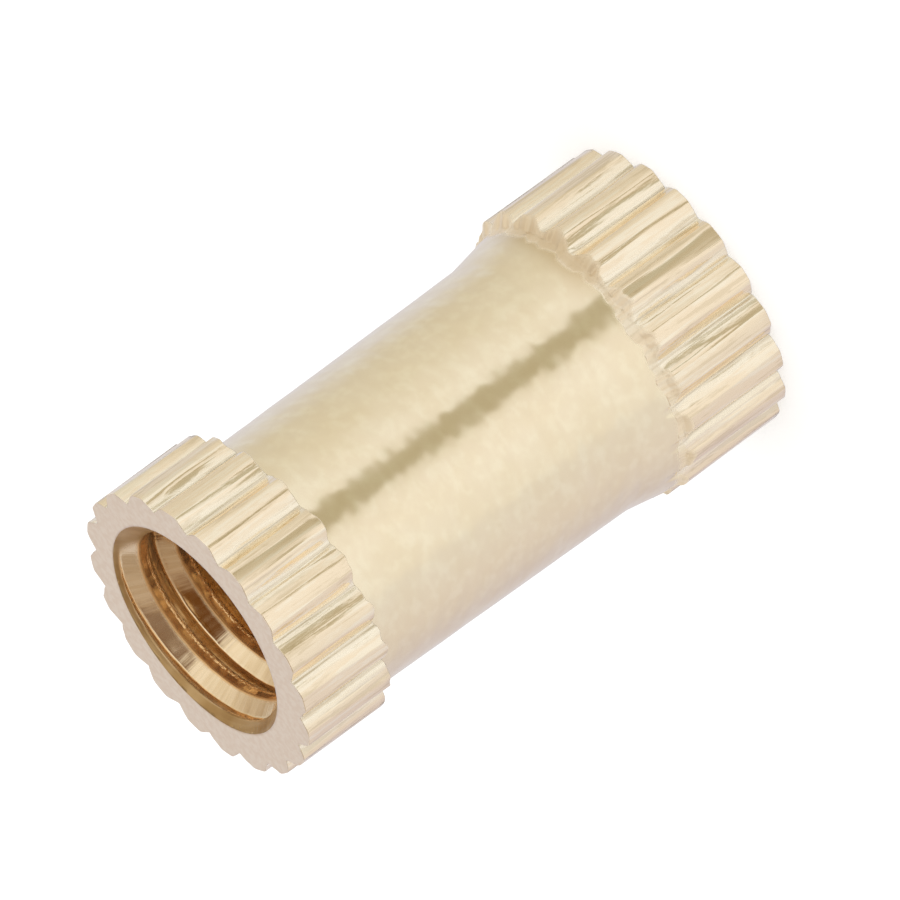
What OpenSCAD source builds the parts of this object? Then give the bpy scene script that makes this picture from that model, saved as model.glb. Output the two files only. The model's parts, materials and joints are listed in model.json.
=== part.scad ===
// Threaded insert, M4 x 0.7: a brass sleeve with a band of straight knurling at each end, pressed or
// melted into a plastic part to give it a metal thread.
// It is made as the real one is: a bar is knurled over its whole length, the waist is turned down
// between the two bands, and the bore is drilled and countersunk for its thread.
// It stands on its lower end. +Z runs along the sleeve, and the origin is the middle of its lower face.

/* [Sleeve] */
// Length of the insert, over both end faces
insert_len = 10; // [8:0.1:16]
// Diameter of the waist at its foot, where the ramp begins
waist_low_d = 4.62; // [4.4:0.01:4.75]
// Diameter of the waist under the upper band
waist_top_d = 4.5; // [4.3:0.01:4.7]

/* [Knurling] */
// Diameter over the crests of the teeth
knurl_d = 5.2; // [5.1:0.01:5.6]
// Depth of a tooth, from crest to root
tooth_depth = 0.19; // [0.1:0.01:0.22]
// Number of teeth round the sleeve
tooth_count = 20; // [16:1:32]
// Turn of the first crest from +X, in degrees
tooth_turn = 7.3; // [0:0.1:22]
// Length of the upper band
upper_band_len = 1.7; // [1:0.05:2.5]
// Length of the lower band, where its teeth stand at full height
lower_band_len = 1.9; // [1:0.05:2.5]

/* [Ramp] */
// Length of the ramp from the lower band to the waist
ramp_len = 0.85; // [0.4:0.05:1.2]
// Diameter of the ramp where it meets the ends of the teeth
ramp_d = 4.92; // [4.8:0.01:5]
// Length over which the ends of the teeth slope down to the ramp
lead_in_len = 0.12; // [0.05:0.01:0.3]

/* [Bore] */
// Diameter of the bore, over the crests of its thread
bore_d = 3.3; // [3:0.01:3.5]
// Diameter of the countersink at each mouth
mouth_d = 3.84; // [3.6:0.01:4.2]
// Depth of the countersink at each mouth
mouth_depth = 0.27; // [0.1:0.01:0.5]

/* [Runout] */
// Distance of the bore's axis from the middle of the bar, toward +X
bore_runout = 0.07; // [0:0.01:0.1]
// Distance of the waist's axis from the middle of the bar, toward -X
waist_runout = 0.07; // [0:0.01:0.1]

/* [Hidden] */
$fn = 96;

brass = [0.84, 0.73, 0.53];

crest_r = knurl_d / 2;
// Straight edges that draw one tooth, and the whole outline
tooth_edges = 8;
outline_edges = tooth_count * tooth_edges;

// Where the turned waist ends in each band, and where the ramp runs out into it
upper_band_foot = insert_len - upper_band_len;
ramp_top = lower_band_len + lead_in_len;
waist_foot = ramp_top + ramp_len;

// How far a cut runs on past the metal
clear = 0.5;
cut_r = crest_r + clear;
// Height at which the slope of the teeth's ends has left the metal, straight on from its own line
lead_in_foot = ramp_top - lead_in_len * (cut_r - ramp_d / 2) / (crest_r - ramp_d / 2);

// Distance from the middle to the knurled outline, at an angle from a crest. off_crest is 0 on a crest
// and 1 in a valley, and its power of 1.5 gives round crests, nearly straight flanks and sharp valleys.
function tooth_r(angle) =
    let (turns = angle * tooth_count / 360, off_crest = 2 * abs(turns - round(turns)))
    crest_r - tooth_depth * pow(off_crest, 1.5);

// The knurled bar: the teeth run along its whole length
module knurled_bar() {
    rotate(tooth_turn)
        linear_extrude(insert_len)
            polygon([for (i = [0 : outline_edges - 1])
                let (angle = 360 * i / outline_edges)
                tooth_r(angle) * [cos(angle), sin(angle)]]);
}

// What is turned away to leave the waist, the ramp and the sloped ends of the lower teeth
module waist_groove() {
    translate([-waist_runout, 0, 0])
        rotate_extrude()
            polygon([
                [cut_r, lead_in_foot],
                [ramp_d / 2, ramp_top],
                [waist_low_d / 2, waist_foot],
                [waist_top_d / 2, upper_band_foot],
                [cut_r, upper_band_foot]
            ]);
}

// What is drilled away along the axis: the bore, and a countersink at each mouth
module bore() {
    translate([bore_runout, 0, 0])
        rotate_extrude()
            polygon([
                [0, -clear],
                [mouth_d / 2, -clear],
                [mouth_d / 2, 0],
                [bore_d / 2, mouth_depth],
                [bore_d / 2, insert_len - mouth_depth],
                [mouth_d / 2, insert_len],
                [mouth_d / 2, insert_len + clear],
                [0, insert_len + clear]
            ]);
}

module insert() {
    color(brass)
        difference() {
            knurled_bar();
            waist_groove();
            bore();
        }
}

insert();
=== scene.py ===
"""A threaded insert of turned brass, standing on its lower end.

A sleeve with a band of straight knurling at each end and a smooth waist between them, and a threaded
bore with a countersink at each mouth. All lengths below are in millimetres, and are turned into metres
where a mesh is made. +Z runs along the sleeve.
"""

import json
import math

import bmesh
import bpy
import numpy as np
from mathutils import Matrix, Vector


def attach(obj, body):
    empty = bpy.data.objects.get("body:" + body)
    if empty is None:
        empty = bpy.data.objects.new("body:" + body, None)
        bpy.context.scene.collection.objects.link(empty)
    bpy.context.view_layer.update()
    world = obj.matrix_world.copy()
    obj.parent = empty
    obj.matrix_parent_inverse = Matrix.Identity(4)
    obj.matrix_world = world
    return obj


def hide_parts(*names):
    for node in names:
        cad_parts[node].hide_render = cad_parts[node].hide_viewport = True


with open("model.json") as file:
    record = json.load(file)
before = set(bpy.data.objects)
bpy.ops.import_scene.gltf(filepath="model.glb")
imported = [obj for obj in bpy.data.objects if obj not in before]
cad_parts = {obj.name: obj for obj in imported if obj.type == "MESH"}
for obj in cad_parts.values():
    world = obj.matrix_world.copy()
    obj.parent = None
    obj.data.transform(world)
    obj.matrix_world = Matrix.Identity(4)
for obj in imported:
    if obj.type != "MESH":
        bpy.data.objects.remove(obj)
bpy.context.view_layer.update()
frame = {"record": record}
MM = 0.001
FULL_TURN = 2 * math.pi

# ---------------------------------------------------------------- sizes that the frame gives
BODY = "root"
NODE = "insert"
MOUNTS = {mount["name"]: mount for mount in frame["record"]["mounts"]}
LENGTH = MOUNTS["knurl"]["dims"]["length_mm"]
CREST_R = MOUNTS["knurl"]["dims"]["r_mm"]
BORE_R = MOUNTS["thread"]["dims"]["r_mm"]
BORE_X = MOUNTS["thread"]["pos_m"][0] / MM
MOUTH_DEPTH = (LENGTH - MOUNTS["thread"]["dims"]["length_mm"]) / 2

# ---------------------------------------------------------------- sizes of the sleeve
LOWER_BAND = 1.9
LEAD_IN = 0.12
RAMP_LEN = 0.85
RAMP_R = 2.46
WAIST_LOW_R = 2.31
WAIST_TOP_R = 2.25
WAIST_X = -0.07
UPPER_BAND = 1.7
MOUTH_R = 1.92
EDGE = 0.014
UPPER_FOOT = LENGTH - UPPER_BAND
RAMP_TOP = LOWER_BAND + LEAD_IN
WAIST_FOOT = RAMP_TOP + RAMP_LEN

# The teeth. TOOTH_LAND is the flat share of a tooth. It is wider by LAND_GROWTH at an end face, and grows
# from LAND_REACH off. LAND_BLEND is the square of the blend at the land's edges, in half teeth.
TOOTH_COUNT = 20
TOOTH_DEPTH = 0.195
TOOTH_TURN = math.radians(7.3)
TOOTH_LAND = 0.26
LAND_GROWTH = 0.35
LAND_REACH = 1.3
LAND_BLEND = 0.006

# What makes the teeth uneven: how far each leans, how much each differs in height, how high the fine lines
# along it are, how far they drift, and how much deeper the crease between two teeth is.
TOOTH_LEAN = math.radians(0.8)
TOOTH_SPREAD = 0.08
LINE_HEIGHT = 0.018
LINE_DRIFT = math.radians(0.7)
CREASE_DEPTH = 0.005

# How far the edges stray up and down: the burr on the teeth's sloped ends, the line where they meet the
# ramp, and the foot of the upper band. Then the dents of the end faces, the ripples of the turned outline,
# how far the ramp's top strays in radius, and how far up and down the teeth's painted reflection reaches.
BURR = 0.045
RAMP_FRAY = 0.06
FOOT_FRAY = 0.03
DENT_DEPTH = 0.003
RIPPLE = 0.003
FINE_RIPPLE = 0.0015
RUNOUT_SPREAD = 0.02
TEETH_REFLECTION_REACH = 0.28

# ---------------------------------------------------------------- sizes of the thread
# HAND is -1 for a thread that winds to the left, as this one does, and 1 for one that winds to the right.
# THREAD_R is the radius at its roots, and THREAD_START turns it to its place, in pitches.
PITCH = 0.7
HAND = -1
THREAD_R = 1.86
CREST_FLAT = 0.18
THREAD_START = 0.30

# The root is rounded from ROOT_FROM on, as a share of the flank: ROOT_BEND times the square of what is past
# it comes off, which takes the slope to 0 at the root itself, at ROOT_FALL. WORN is how far wear moves the
# wall in and out.
ROOT_FROM = 0.8
ROOT_BEND = 2.5
ROOT_FALL = 0.9
WORN = 0.006

# Both pieces close over a wall inside the metal: its radius, and how far short of the end faces it stops.
LINER_R, LINER_DEPTH = THREAD_R + 0.04, 0.06
BACK_R, BACK_DEPTH = THREAD_R + 0.06, 0.05


# ---------------------------------------------------------------- meshes from grids
def smooth(low, high, x):
    """Smooth step: 0 below low, 1 above high, and 3t^2 - 2t^3 between them. Where low is the larger, it is
    0 above low and 1 below high."""
    t = np.clip((x - low) / (high - low), 0, 1)
    return t * t * (3 - 2 * t)


def mix(a, b, t):
    """Straight blend from a to b as t goes from 0 to 1."""
    return a + (b - a) * t


def wrapped_noise(phi, z, around, along, seed):
    """Smooth noise on the sleeve, -1 to 1: random values on a lattice of around by along cells, which
    closes on itself in angle, blended with a cosine between lattice points."""
    draw = np.random.default_rng(seed)
    lattice = draw.uniform(-1, 1, (along + 2, around))
    u = (phi / FULL_TURN % 1) * around
    v = np.clip(z / LENGTH, 0, 1) * along
    i, j = np.floor(u).astype(int), np.floor(v).astype(int)
    fu = (1 - np.cos(math.pi * (u - i))) / 2
    fv = (1 - np.cos(math.pi * (v - j))) / 2
    near, far = i % around, (i + 1) % around
    low = mix(lattice[j, near], lattice[j, far], fu)
    high = mix(lattice[j + 1, near], lattice[j + 1, far], fu)
    return mix(low, high, fv)


def add_mask(mesh, name, values):
    """A number from 0 to 1 at each point of the mesh, which the materials read by its name."""
    mask = mesh.attributes.new(name, "FLOAT", "POINT")
    mask.data.foreach_set("value", np.ascontiguousarray(values, dtype=np.float32).ravel())


def finished(name, mesh):
    """A piece of the insert from its mesh."""
    mesh.update()
    mesh.shade_smooth()
    piece = bpy.data.objects.new(name, mesh)
    bpy.context.scene.collection.objects.link(piece)
    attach(piece, BODY)
    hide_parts(NODE)
    return piece


def closed_tube(name, x, y, z, masks):
    """A piece from arrays of rows by columns. Columns run round the axis and close on themselves, and the
    last row joins the first, so the surface is a closed ring. Each face looks to the right of its row."""
    rows, cols = x.shape
    points = np.stack([x, y, z], axis=-1).reshape(-1, 3) * MM
    r, c = np.meshgrid(np.arange(rows), np.arange(cols), indexing="ij")
    r2, c2 = (r + 1) % rows, (c + 1) % cols
    quads = np.stack([r * cols + c, r * cols + c2, r2 * cols + c2, r2 * cols + c], axis=-1).reshape(-1, 4)
    mesh = bpy.data.meshes.new(name)
    mesh.from_pydata(points, [], quads)
    for mask, values in masks.items():
        add_mask(mesh, mask, values)
    return finished(name, mesh)


# ---------------------------------------------------------------- the sleeve
COLS_PER_TOOTH = 32
SLEEVE_COLS = COLS_PER_TOOTH * TOOTH_COUNT

# Rows from the lower edge up to the upper band, each as a first height, a last height and a count. They lie
# closest where the teeth run out on the ramp.
SLEEVE_ROWS = (
    (EDGE, LOWER_BAND - 0.2, 12),
    (LOWER_BAND - 0.12, RAMP_TOP + 0.5, 30),
    (RAMP_TOP + 0.55, WAIST_FOOT + 0.1, 6),
    (WAIST_FOOT + 0.17, UPPER_FOOT - 0.12, 54),
)
UPPER_BAND_ROWS = 16
LOWER_FACE_STEPS = (0, 0.1, 0.35, 0.65, 0.9, 1)
UPPER_FACE_STEPS = (1, 0.93, 0.8, 0.6, 0.4, 0.2, 0.07, 0)
SHOULDER_STEPS = (0.12, 0.5, 0.85)


def in_teeth(angle):
    """An angle as a count of teeth."""
    return angle * TOOTH_COUNT / FULL_TURN


def tooth_wave(turn, z):
    """Height of a tooth, 1 at its crest and 0 at its root. It falls off straight from a narrow land to the
    root: d is how far a point is past the land, in half teeth, and (d + sqrt(d^2 + blend^2)) / 2 rounds the
    land's edges. The land is wider by the end faces."""
    land = TOOTH_LAND * (1 + LAND_GROWTH * smooth(LAND_REACH, 0, np.minimum(z, LENGTH - z)))
    d = np.abs(2 * ((in_teeth(turn) + 0.5) % 1) - 1) - land
    fall, root, crest = ((x + np.sqrt(x * x + LAND_BLEND)) / 2 for x in (d, 1 - land, -land))
    return (root - fall) / (root - crest)


def knurl_radius(phi, z):
    """The knurled bar: the wave of its teeth, and fine lines along them. Each tooth differs a little in
    height and in lean, and its lines drift as they go along, and fade out at its crest and its root. Its
    land is flat, which adds r / cos(off) - r at an angle off from its middle. Past the lower band the
    valleys fill up to the top of the ramp, where the teeth run out."""
    lean = TOOTH_LEAN * wrapped_noise(phi, z, around=TOOTH_COUNT, along=3, seed=11)
    lean = lean * (1 - np.abs(2 * (in_teeth(phi - TOOTH_TURN) % 1) - 1) ** 2)
    turn = phi - TOOTH_TURN + lean
    wave = tooth_wave(turn, z)
    off = np.abs((in_teeth(turn) + 0.5) % 1 - 0.5) * FULL_TURN / TOOTH_COUNT
    flat = CREST_R / np.cos(np.minimum(off, TOOTH_LAND * math.pi / TOOTH_COUNT)) - CREST_R
    height = TOOTH_DEPTH * (1 + TOOTH_SPREAD * wrapped_noise(phi, z, around=TOOTH_COUNT, along=4, seed=12))
    drift = LINE_DRIFT * wrapped_noise(phi, z, around=3 * TOOTH_COUNT, along=18, seed=14)
    lined = smooth(0.02, 0.2, wave) * smooth(1.02, 0.85, wave)
    lines = LINE_HEIGHT * wrapped_noise(phi + drift, z, around=6 * TOOTH_COUNT, along=12, seed=13) * lined
    crease = CREASE_DEPTH * np.clip(1 - wave / 0.08, 0, 1)
    radius = CREST_R - TOOTH_DEPTH + height * wave + flat + lines - crease
    shallow = RAMP_R + RUNOUT_SPREAD * wrapped_noise(phi, z, around=2 * TOOTH_COUNT, along=2, seed=15)
    runout = smooth(RAMP_TOP - 0.25, RAMP_TOP + 0.05, z) * smooth(RAMP_TOP + 1.5, RAMP_TOP + 1.2, z)
    return radius + np.maximum(shallow - radius, 0) * runout


def turned_radius(phi, z):
    """The turned outline as seen from the bar's axis: the sloped ends of the teeth, the ramp and the waist
    are round about an axis of their own, so r = e cos(phi) + sqrt(radius^2 - (e sin(phi))^2). A ripple
    runs along all of it, and a burr moves the ends of the teeth up and down."""
    ripple = RIPPLE * wrapped_noise(phi, z, around=3, along=21, seed=21)
    ripple = ripple + FINE_RIPPLE * wrapped_noise(phi, z, around=5, along=47, seed=22)
    slope = (RAMP_R - CREST_R) / LEAD_IN
    burr = BURR * wrapped_noise(phi, 0 * z, around=8 * TOOTH_COUNT, along=2, seed=23)
    lead = RAMP_R + slope * (z - RAMP_TOP + burr)
    ramp = mix(RAMP_R, WAIST_LOW_R, (z - RAMP_TOP) / RAMP_LEN)
    waist = mix(WAIST_LOW_R, WAIST_TOP_R, (z - WAIST_FOOT) / (UPPER_FOOT - WAIST_FOOT))
    radius = np.where(z < RAMP_TOP, lead, np.where(z < WAIST_FOOT, ramp, waist)) + ripple
    return WAIST_X * np.cos(phi) + np.sqrt(radius**2 - (WAIST_X * np.sin(phi))**2)


def sleeve():
    """The outside of the insert, row by row from the lower mouth out, up and back to the upper mouth, and
    down again inside the metal. A row is a height and a radius at every angle. Below the upper band the
    radius is the smaller of the knurled bar's and the turned outline's. The masks say what is an end face
    or a shoulder, what is the turned waist, what is a sloped end of a tooth, where the teeth's painted
    reflection lies on the ramp, and how high on a tooth a point is."""
    phi = TOOTH_TURN + np.linspace(0, FULL_TURN, SLEEVE_COLS, endpoint=False)[None, :]
    rows = []

    def add(z, radius, end_face=0.0, turned=0.0, lead=0.0, stain=0.0, centre=0.0):
        """One row with its masks, round a centre on the X axis."""
        x, y = radius * np.cos(phi) + centre, radius * np.sin(phi)
        tooth = tooth_wave(phi - TOOTH_TURN, z)
        rows.append([part + 0 * phi for part in (x, y, z, end_face, turned, lead, stain, tooth)])

    def face(z, outer, steps, inward):
        """Rows of an end face between the mouth and the teeth, with shallow dents."""
        for t in steps:
            dent = wrapped_noise(phi, 0 * phi + LENGTH * t, around=50, along=6, seed=31)
            depth = abs(DENT_DEPTH * dent * math.sin(math.pi * t))
            add(z + depth * inward, mix(MOUTH_R, outer, t), end_face=1, centre=BORE_X * (1 - t))

    low = knurl_radius(phi, 0 * phi)
    face(0.0, low - EDGE, LOWER_FACE_STEPS, inward=1)
    add(0.3 * EDGE, low - 0.3 * EDGE)
    frayed = RAMP_FRAY * wrapped_noise(phi, 0 * phi, around=5 * TOOTH_COUNT, along=2, seed=42)
    # Painted reflection: where round the ramp the brown reflection of the teeth is painted on, and how
    # strongly.
    teeth_reflection_spread = smooth(-0.1, 0.9, wrapped_noise(phi, 0 * phi, around=7, along=2, seed=212))
    for height in np.concatenate([np.linspace(*span) for span in SLEEVE_ROWS]):
        z = height + 0 * phi
        bar, cut = knurl_radius(phi, z), turned_radius(phi, z)
        ends = height > LOWER_BAND - 0.15
        on_waist = smooth(RAMP_TOP + 0.05, RAMP_TOP + 0.18, z + frayed)
        lead = smooth(-0.07, -0.02, bar - cut) * (1 - on_waist) * ends
        # The teeth's painted reflection fades up and down from just above the ramp's top.
        fade = math.exp(-((height - RAMP_TOP - 0.05) / TEETH_REFLECTION_REACH) ** 2)
        stain = teeth_reflection_spread * np.maximum(on_waist, lead) * fade
        add(z, np.minimum(bar, cut) if ends else bar, turned=on_waist, lead=lead, stain=stain)

    foot = UPPER_FOOT + FOOT_FRAY * wrapped_noise(phi, 0 * phi, around=5 * TOOTH_COUNT, along=2, seed=41)
    waist, band = turned_radius(phi, foot), knurl_radius(phi, foot)
    add(foot - 0.05, turned_radius(phi, foot - 0.05), turned=1)
    add(foot - 0.005, waist, turned=1)
    for t in SHOULDER_STEPS:
        add(foot + 0.01 * t, mix(waist, band - EDGE, t), end_face=1)
    add(foot + 0.4 * EDGE, band - 0.6 * EDGE, end_face=0.5)
    for t in np.linspace(0, 1, UPPER_BAND_ROWS):
        z = mix(foot + 1.6 * EDGE, LENGTH - EDGE, t)
        add(z, knurl_radius(phi, z))
    high = knurl_radius(phi, 0 * phi + LENGTH)
    add(LENGTH - 0.3 * EDGE, high - 0.3 * EDGE)
    face(LENGTH, high - EDGE, UPPER_FACE_STEPS, inward=-1)
    add(LENGTH - LINER_DEPTH, LINER_R, centre=BORE_X)
    add(LINER_DEPTH, LINER_R, centre=BORE_X)
    x, y, z, end_face, turned, lead, stain, tooth = (np.concatenate(part) for part in zip(*rows))
    masks = {"end_face": end_face, "turned": turned, "lead": lead, "stain": stain, "tooth": tooth}
    return closed_tube("insert_sleeve", x, y, z, masks)


# ---------------------------------------------------------------- the thread
THREAD_COLS = 240

# Rows along one pitch, from one root to the next, which lie closest at the edges of the crest. The second
# half mirrors the first.
CREST_EDGE = 0.5 - CREST_FLAT / PITCH / 2
HALF_STEPS = (
    0, 0.03, 0.06, 0.09, 0.14, 0.19, 0.24, 0.295,
    CREST_EDGE - 0.02, CREST_EDGE - 0.006, CREST_EDGE + 0.006, CREST_EDGE + 0.02, 0.44, 0.5,
)
STEPS = np.array(HALF_STEPS + tuple(1 - t for t in HALF_STEPS[-2:0:-1]))
TURN_ROWS = len(STEPS)


def off_crest(t):
    """How far a point is from the flat crest of the thread, from 0 at its edge to 1 at the root, with t
    from 0 at one root to 1 at the next."""
    return np.maximum(np.abs(t - 0.5) * PITCH - CREST_FLAT / 2, 0) / ((PITCH - CREST_FLAT) / 2)


def thread_radius(t):
    """Radius of the thread along one pitch: a flat crest in the middle, a straight flank on each side of
    it, and a root rounded by a parabola."""
    root = np.maximum(off_crest(t) - ROOT_FROM, 0)
    return BORE_R + (THREAD_R - BORE_R) * (off_crest(t) - ROOT_BEND * root**2) / ROOT_FALL


def thread():
    """The wall of the bore. Its rows follow the helix, so z = pitch * (turn + step) + hand * pitch *
    angle / full turn, and where the columns meet, each row meets the one that is a turn away. Both ends are
    cut off at the end faces, run into the countersinks, and close over a wall hidden in the metal. The
    edges of the crest have masks of their own, for the burr on one and the wear on the other."""
    turns = int(LENGTH / PITCH) + 4
    row = np.arange(turns * TURN_ROWS + 1)[:, None]
    phi = np.linspace(0, FULL_TURN, THREAD_COLS, endpoint=False)[None, :]
    step = STEPS[row % TURN_ROWS]
    z = (row // TURN_ROWS + step - 2 + THREAD_START + HAND * phi / FULL_TURN) * PITCH
    worn = WORN * wrapped_noise(phi, z, around=90, along=60, seed=51)
    t = step + 0 * phi
    radius = thread_radius(t) + worn
    z = np.clip(z, 0, LENGTH)
    depth = np.minimum(z, LENGTH - z)
    cone = mix(MOUTH_R, BORE_R, depth / MOUTH_DEPTH)
    countersunk = smooth(-0.02, 0.01, cone - radius)
    flank = smooth(0, 0.12, off_crest(t)) * smooth(0.98, 0.8, off_crest(t))
    corner, edge = (smooth(0.05, 0, np.abs(side * (0.5 - t) * PITCH - CREST_FLAT / 2)) for side in (1, -1))
    mouth = smooth(0.95, 0.6, depth)
    radius = np.where(depth > 0, np.maximum(radius, cone), MOUTH_R)
    points = np.stack([radius * np.cos(phi) + BORE_X, radius * np.sin(phi), z], axis=-1).reshape(-1, 3)

    rows, cols = z.shape
    r, c = np.meshgrid(np.arange(rows - 1), np.arange(cols), indexing="ij")
    next_c = (c + 1) % cols
    next_r = r + np.where(next_c == 0, HAND * TURN_ROWS, 0)
    near, far = r * cols + c, next_r * cols + next_c
    quads = np.stack([near, near + cols, far + cols, far], axis=-1)
    quads = quads[(next_r >= 0) & (next_r + 1 < rows)]

    angle = phi[0]
    rings = [(MOUTH_R, 0.0), (BACK_R, BACK_DEPTH), (BACK_R, LENGTH - BACK_DEPTH), (MOUTH_R, LENGTH)]
    wall = [np.stack([reach * np.cos(angle) + BORE_X, reach * np.sin(angle), 0 * angle + height], axis=-1)
            for reach, height in rings]
    r, c = np.meshgrid(np.arange(len(rings) - 1), np.arange(cols), indexing="ij")
    start = len(points) + r * cols
    next_c = (c + 1) % cols
    strip = np.stack([start + c, start + next_c, start + cols + next_c, start + cols + c], axis=-1)
    hidden = np.zeros(len(rings) * cols)
    points = np.concatenate([points] + wall)
    quads = np.concatenate([quads.reshape(-1, 4), strip.reshape(-1, 4)])

    mesh = bpy.data.meshes.new("insert_thread")
    mesh.from_pydata(points * MM, [], quads)
    masks = {"countersunk": countersunk, "flank": flank, "corner": corner, "edge": edge, "mouth": mouth}
    for name, values in masks.items():
        add_mask(mesh, name, np.concatenate([values.ravel(), hidden]))
    shape = bmesh.new()
    shape.from_mesh(mesh)
    bmesh.ops.remove_doubles(shape, verts=shape.verts, dist=1e-8)
    bmesh.ops.dissolve_degenerate(shape, edges=shape.edges, dist=1e-8)
    loose = [vert for vert in shape.verts if not vert.link_faces]
    bmesh.ops.delete(shape, geom=loose, context="VERTS")
    bmesh.ops.recalc_face_normals(shape, faces=shape.faces)
    shape.to_mesh(mesh)
    shape.free()
    return finished("insert_thread", mesh)


# ---------------------------------------------------------------- shader maths
class Value:
    """A shader socket that takes Python's operators, each of which adds one Math node."""

    def __init__(self, nodes, socket):
        self.nodes, self.socket = nodes, socket

    def math(self, operation, *others):
        """One Math node on this value and up to two more."""
        return self.nodes.add("ShaderNodeMath", {"operation": operation}, self, *others)

    def __add__(self, other):
        return self.math("ADD", other)

    def __radd__(self, other):
        return self.math("ADD", other)

    def __sub__(self, other):
        return self.math("SUBTRACT", other)

    def __rsub__(self, other):
        return self.nodes.add("ShaderNodeMath", {"operation": "SUBTRACT"}, other, self)

    def __mul__(self, other):
        return self.math("MULTIPLY", other)

    def __rmul__(self, other):
        return self.math("MULTIPLY", other)

    def __truediv__(self, other):
        return self.math("DIVIDE", other)


class Nodes:
    """One node tree, to which each call of add gives one more node."""

    def __init__(self, owner):
        owner.use_nodes = True
        self.tree = owner.node_tree
        self.tree.nodes.clear()

    def add(self, kind, settings=None, *inputs, out=0, **named):
        """A node of this kind. Its settings are set first, and then its sockets, by their order or by their
        names, with _ for a space. A Value is linked to its socket, None leaves a socket alone, and anything
        else is the socket's own value. out is the number of the output that comes back."""
        node = self.tree.nodes.new(kind)
        for key, value in (settings or {}).items():
            setattr(node, key, value)
        for key, value in list(enumerate(inputs)) + list(named.items()):
            socket = node.inputs[key.replace("_", " ") if isinstance(key, str) else key]
            if isinstance(value, Value):
                self.tree.links.new(value.socket, socket)
            elif value is not None:
                socket.default_value = value
        return Value(self, node.outputs[out]) if node.outputs else node

    def split(self, vector):
        """The three parts of a vector."""
        node = self.add("ShaderNodeSeparateXYZ", None, vector).socket.node
        return [Value(self, part) for part in node.outputs]

    def ramp(self, value, stops):
        """A colour ramp with straight blends between its stops, each a place from 0 to 1 and a colour."""
        result = self.add("ShaderNodeValToRGB", None, value)
        elements = result.socket.node.color_ramp.elements
        for place, _ in stops[1:-1]:
            elements.new(place)
        for element, (place, light) in zip(elements, stops):
            element.position, element.color = place, (*light, 1)
        return result

    def smooth(self, value, low, high):
        """Smooth step from 0 at low to 1 at high, whichever is the larger."""
        first, last = (1.0, 0.0) if low > high else (0.0, 1.0)
        low, high = min(low, high), max(low, high)
        settings = {"interpolation_type": "SMOOTHSTEP"}
        return self.add("ShaderNodeMapRange", settings, value, low, high, first, last)

    def mix(self, factor, a, b):
        """A blend of two colours. The five sockets before the colours are for numbers and vectors."""
        unused = [None] * 5
        return self.add("ShaderNodeMix", {"data_type": "RGBA"}, factor, *unused, a, b, out=2)


def colour(red, green, blue):
    """An sRGB colour, 0 to 255, as linear RGBA."""
    parts = [c / 255 for c in (red, green, blue)]
    return tuple(p / 12.92 if p <= 0.04045 else ((p + 0.055) / 1.055) ** 2.4 for p in parts) + (1.0,)


# ---------------------------------------------------------------- brass
BURNISHED = colour(255, 244, 221)
TAN = colour(250, 231, 201)
DARK = colour(222, 202, 168)
CREASE_SHADE = colour(200, 181, 150)
# Painted shade in the creases between the teeth.
TOOTH_END = colour(228, 208, 174)
# Painted reflection of the teeth: a brown shade on the ramp by them.
TEETH_REFLECTION = colour(219, 196, 158)
WAIST_CLOUDS = colour(245, 229, 196), colour(249, 235, 205)
WAIST_RINGS = colour(240, 223, 190)
WAIST_MOTTLE = colour(240, 221, 192), colour(255, 244, 216)
FACE_GRAIN = colour(238, 220, 203), colour(243, 228, 213)
# Painted shade of the bore: the crests and roots are painted a deeper golden colour than the flanks.
THREAD_SHADE_GOLD = colour(228, 182, 124), colour(242, 199, 142)
THREAD_CREAM = colour(236, 210, 168), colour(245, 222, 184)
MOUTH_DULL = colour(177, 141, 90), colour(197, 164, 115)


def round_the_sleeve(n, around, along):
    """A place on the sleeve for a noise: the direction from the axis times around, and the height in
    millimetres times along. It has no seam, and a large around draws lines that run up the sleeve."""
    place = n.add("ShaderNodeTexCoord", out=3)
    flat = n.add("ShaderNodeVectorMath", {"operation": "MULTIPLY"}, place, (1, 1, 0))
    outward = n.add("ShaderNodeVectorMath", {"operation": "NORMALIZE"}, flat)
    ring = n.add("ShaderNodeVectorMath", {"operation": "SCALE"}, outward, Scale=around)
    rise = n.add("ShaderNodeVectorMath", {"operation": "MULTIPLY"}, place, (0, 0, along / MM))
    return n.add("ShaderNodeVectorMath", {"operation": "ADD"}, ring, rise)


def noise(n, around, along, detail=1.0, wander=0.0):
    """Noise on the sleeve, with finer noise on it for each step of detail. Its lines wander from side to
    side as far as wander says."""
    place = round_the_sleeve(n, around, along)
    return n.add("ShaderNodeTexNoise", None, place, Scale=1.0, Detail=detail, Distortion=wander)


def mask(n, name):
    """One of the mesh's masks."""
    return n.add("ShaderNodeAttribute", {"attribute_name": name}, out=2)


def brass(n, base, metal, rough, height):
    """The shader of both materials. Its bump's height is in millimetres."""
    bump = n.add("ShaderNodeBump", None, 1.0, MM, None, height)
    shader = n.add("ShaderNodeBsdfPrincipled", None, Base_Color=base, Metallic=metal, Roughness=rough,
                   Normal=bump)
    n.add("ShaderNodeOutputMaterial", None, Surface=shader)


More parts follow.
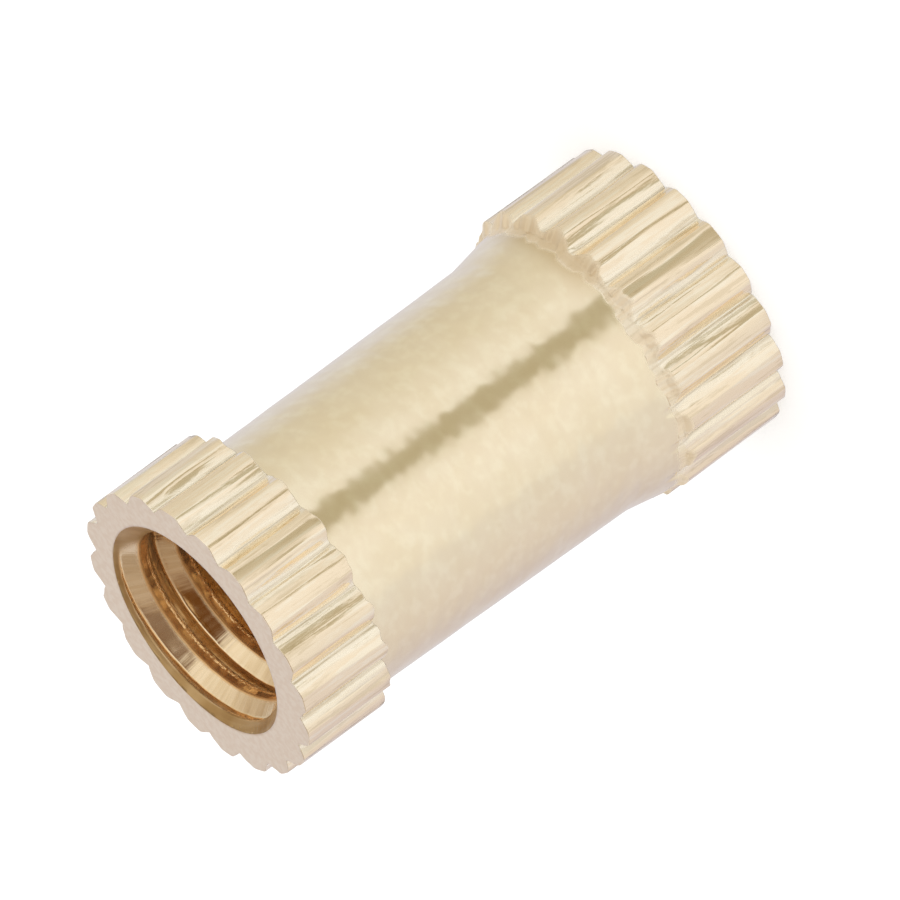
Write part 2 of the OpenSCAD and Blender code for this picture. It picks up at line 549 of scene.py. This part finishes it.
def sleeve_brass():
    """The outside: bright turned brass on the waist, with clouds, tool rings and a mottle, drawn lines
    along the teeth, painted shade and less metal in the creases between them, duller sloped ends, the
    teeth's painted reflection on the ramp as a brown shade, and matt end faces."""
    material = bpy.data.materials.new("brass_sleeve")
    n = Nodes(material)
    end_face, turned, lead = (mask(n, name) for name in ("end_face", "turned", "lead"))
    stain, tooth = mask(n, "stain"), mask(n, "tooth")
    knurled = 1 - n.smooth(turned + end_face, 0.3, 0.7)

    lines = noise(n, around=28, along=0.55, detail=1, wander=0.3)
    hairs = noise(n, around=55, along=6.0, detail=1, wander=0.3)
    rings = noise(n, around=1.2, along=5.0, detail=2)
    chatter = noise(n, around=6, along=5.0, detail=0)
    cloud = noise(n, around=3, along=1.4, detail=2)
    mottle = noise(n, around=9, along=5, detail=2)
    grain = n.add("ShaderNodeTexNoise", None, n.add("ShaderNodeTexCoord", out=3), Scale=9000.0, Detail=2.0)

    streaks = lines * 0.8 + hairs * 0.2
    drawn = n.mix(n.smooth(tooth + (lines - 0.5) * 1.4, 0.15, 0.6), BURNISHED, TAN)
    drawn = n.mix(n.smooth(streaks, 0.5, 0.64) * 0.7, drawn, BURNISHED)
    drawn = n.mix(n.smooth(streaks, 0.46, 0.36) * 0.5, drawn, DARK)
    # Painted shade at the roots between the teeth.
    drawn = n.mix(n.smooth(tooth, 0.11, 0.02) * 0.4, drawn, CREASE_SHADE)
    drawn = n.mix(lead * 0.45, drawn, TOOTH_END)
    waist = n.mix(n.smooth(cloud, 0.3, 0.7), *WAIST_CLOUDS)
    waist = n.mix(n.smooth(rings, 0.7, 0.3) * 0.3, waist, WAIST_RINGS)
    waist = n.mix(n.smooth(mottle, 0.65, 0.35) * 0.25, waist, WAIST_MOTTLE[0])
    waist = n.mix(n.smooth(mottle, 0.45, 0.75) * 0.3, waist, WAIST_MOTTLE[1])
    face = n.mix(n.smooth(grain, 0.35, 0.65), *FACE_GRAIN)
    base = n.mix(knurled, waist, drawn)
    # Painted reflection of the teeth, as a brown shade on the ramp by them.
    base = n.mix(stain, base, TEETH_REFLECTION)
    base = n.mix(n.smooth(end_face, 0.4, 0.6), base, face)

    rim = end_face * (1 - end_face) * 3
    crease = knurled * n.smooth(tooth, 0.45, 0.1)
    metal = 1 - lead * 0.75 - rim - crease * 0.4
    rough = 0.14 + 0.03 * knurled + 0.3 * end_face + 0.2 * lead + 0.04 * cloud
    lined = knurled * n.smooth(tooth, 1.02, 0.85)
    height = lined * (lines * 0.019 + hairs * 0.003) + turned * (rings * 0.003 + chatter * 0.012)
    brass(n, base, metal, rough, height + end_face * grain * 0.004)
    return material


def thread_brass():
    """The bore: bright cut flanks, with painted shade on the crests and roots, which are a deeper golden
    colour, sparks on the burr of the crest's one edge, dull wear on the other, and a duller countersink."""
    material = bpy.data.materials.new("brass_thread")
    n = Nodes(material)
    countersunk, flank, mouth = (mask(n, name) for name in ("countersunk", "flank", "mouth"))
    corner, edge = mask(n, "corner"), mask(n, "edge")
    marks = noise(n, around=26, along=1.2, detail=2)
    tone = n.smooth(noise(n, around=3, along=1.5, detail=2), 0.35, 0.65)
    sparks = noise(n, around=45, along=22, detail=1)

    # Painted shade: the crests and roots get a deeper golden colour than the flanks.
    shade_gold = n.mix(tone, *THREAD_SHADE_GOLD)
    cream = n.mix(n.smooth(marks, 0.3, 0.7), *THREAD_CREAM)
    base = n.mix(n.smooth(flank + (marks - 0.5) * 0.3, 0.2, 0.7), shade_gold, cream)
    base = n.mix(countersunk, base, n.mix(tone, *MOUTH_DULL))
    film = (1 - flank) * (1 - countersunk)
    metal = 1 - 0.12 * film - 0.2 * mouth * flank - 0.2 * edge * film
    rough = 0.1 + 0.22 * countersunk + 0.1 * marks + 0.25 * edge + 0.12 * corner
    brass(n, base, metal, rough, marks * 0.003 + corner * sparks * 0.025)
    return material


# ---------------------------------------------------------------- camera
# AIM is how far to the right of and above the insert's middle the camera looks.
ROLL = math.radians(36)
TILT = math.radians(66.85)
AIM = 0.197, 0.155
DISTANCE = 320.0
LENS = 820.0


def camera():
    """The camera looks down on the insert at TILT to its axis, and is rolled so that the axis runs up to
    the right at ROLL from the frame's foot."""
    along = Vector((0, -math.cos(TILT), -math.sin(TILT)))
    across = Vector((-1, 0, 0))
    right = math.cos(ROLL) * along + math.sin(ROLL) * across
    up = math.sin(ROLL) * along - math.cos(ROLL) * across
    back = right.cross(up)
    aim = Vector((0, 0, LENGTH / 2)) + AIM[0] * right + AIM[1] * up
    place = (aim + DISTANCE * back) * MM
    data = bpy.data.cameras.new("camera")
    data.lens = LENS
    data.sensor_width = 36
    data.clip_start = 0.001
    data.clip_end = 10
    eye = bpy.data.objects.new("camera", data)
    turn = Matrix((right, up, back)).transposed().to_4x4()
    eye.matrix_world = Matrix.Translation(place) @ turn
    bpy.context.scene.collection.objects.link(eye)
    bpy.context.scene.camera = eye


# ---------------------------------------------------------------- light
# What the metal reflects, as stops of angle round the insert, in degrees from the camera's side towards -X,
# and light. Low is what the upright sides reflect, and high is what the faces that look up reflect.
LOW_TENT = (
    (-180, (0.75, 0.73, 0.78)), (-140, (0.76, 0.78, 0.87)), (-110, (0.73, 0.71, 0.65)),
    (-76, (0.81, 0.79, 0.72)), (-43, (0.95, 0.95, 0.94)), (-32, (0.95, 0.95, 0.94)),
    (-27, (0.54, 0.50, 0.38)), (-13, (0.54, 0.50, 0.38)), (-7, (0.90, 0.89, 0.85)),
    (0, (0.96, 0.95, 0.94)), (15, (1.0, 1.0, 1.0)), (54, (0.93, 0.93, 0.93)),
    (60, (0.86, 0.86, 0.88)), (100, (0.81, 0.785, 0.82)), (140, (0.69, 0.656, 0.73)),
    (180, (0.75, 0.73, 0.78)),
)
HIGH_TENT = (
    (-180, (0.76, 0.76, 0.74)), (-165, (0.74, 0.74, 0.72)), (-150, (0.44, 0.34, 0.24)),
    (-130, (0.46, 0.37, 0.28)), (-112, (0.62, 0.55, 0.48)), (-85, (0.83, 0.79, 0.73)),
    (-50, (1, 1, 1)), (0, (1, 1, 1)), (34, (0.8, 0.76, 0.74)),
    (62, (0.45, 0.34, 0.26)), (95, (0.47, 0.38, 0.31)), (120, (0.36, 0.27, 0.20)),
    (145, (0.40, 0.33, 0.27)), (165, (0.72, 0.71, 0.69)), (180, (0.76, 0.76, 0.74)),
)
PATCH_LIGHT = (0.14, 0.048, 0.0, 1)
TOP_LIGHT = (0.96, 0.94, 0.9, 1)
WHITE = (1, 1, 1, 1)

# Where one part of the tent gives way to the next. Heights go from 0 at the horizon to 1 overhead, and
# sides from 0 to 1 round the insert, with 0.5 at the camera's side.
HIGH_FROM = 0.26, 0.36
PATCH_FROM = 0.64, 0.73
TOP_FROM = 0.895, 0.925
PATCH_SIDES = (0.40, 0.465), (0.73, 0.65)


def surroundings():
    """The tent: plain white, apart from what the metal reflects. That is a soft white too, which falls off
    towards the sides and the back, with a narrow dark gap at the front, a dark patch above it and a light
    overhead."""
    world = bpy.data.worlds.new("tent")
    bpy.context.scene.world = world
    n = Nodes(world)
    x, y, z = n.split(n.add("ShaderNodeTexCoord", out=0))
    turn = (x * -1.0).math("ARCTAN2", y * -1.0) / FULL_TURN + 0.5
    low, high = (n.ramp(turn, [((angle + 180) / 360, light) for angle, light in stops])
                 for stops in (LOW_TENT, HIGH_TENT))
    light = n.mix(n.smooth(z, *HIGH_FROM), low, high)
    left, right = (n.smooth(turn, *side) for side in PATCH_SIDES)
    light = n.mix(left * right * n.smooth(z, *PATCH_FROM), light, PATCH_LIGHT)
    light = n.mix(n.smooth(z, *TOP_FROM), light, TOP_LIGHT)
    tent = n.add("ShaderNodeBackground", None, light, 1.0)
    white = n.add("ShaderNodeBackground", None, WHITE, 1.0)
    reflected = n.add("ShaderNodeLightPath", out=3)
    n.add("ShaderNodeOutputWorld", None, Surface=n.add("ShaderNodeMixShader", None, reflected, white, tent))


# ---------------------------------------------------------------- floor
FLOOR_SIZE = 600.0
PAPER = (0.9, 0.9, 0.9, 1)
GLOW = 0.3


def floor():
    """A plain floor, white to the camera apart from the insert's soft shadow."""
    bpy.ops.mesh.primitive_plane_add(size=FLOOR_SIZE * MM)
    plane = bpy.context.object
    plane.name = "floor"
    plane.visible_glossy = False
    material = bpy.data.materials.new("floor")
    n = Nodes(material)
    paper = n.add("ShaderNodeBsdfDiffuse", None, PAPER)
    glow = n.add("ShaderNodeEmission", None, WHITE, GLOW)
    seen = n.add("ShaderNodeLightPath", out=0)
    lit = n.add("ShaderNodeAddShader", None, paper, glow)
    n.add("ShaderNodeOutputMaterial", None, Surface=n.add("ShaderNodeMixShader", None, seen, paper, lit))
    plane.data.materials.append(material)


sleeve().data.materials.append(sleeve_brass())
thread().data.materials.append(thread_brass())
camera()
surroundings()
floor()
bpy.context.scene.view_settings.view_transform = "Standard"
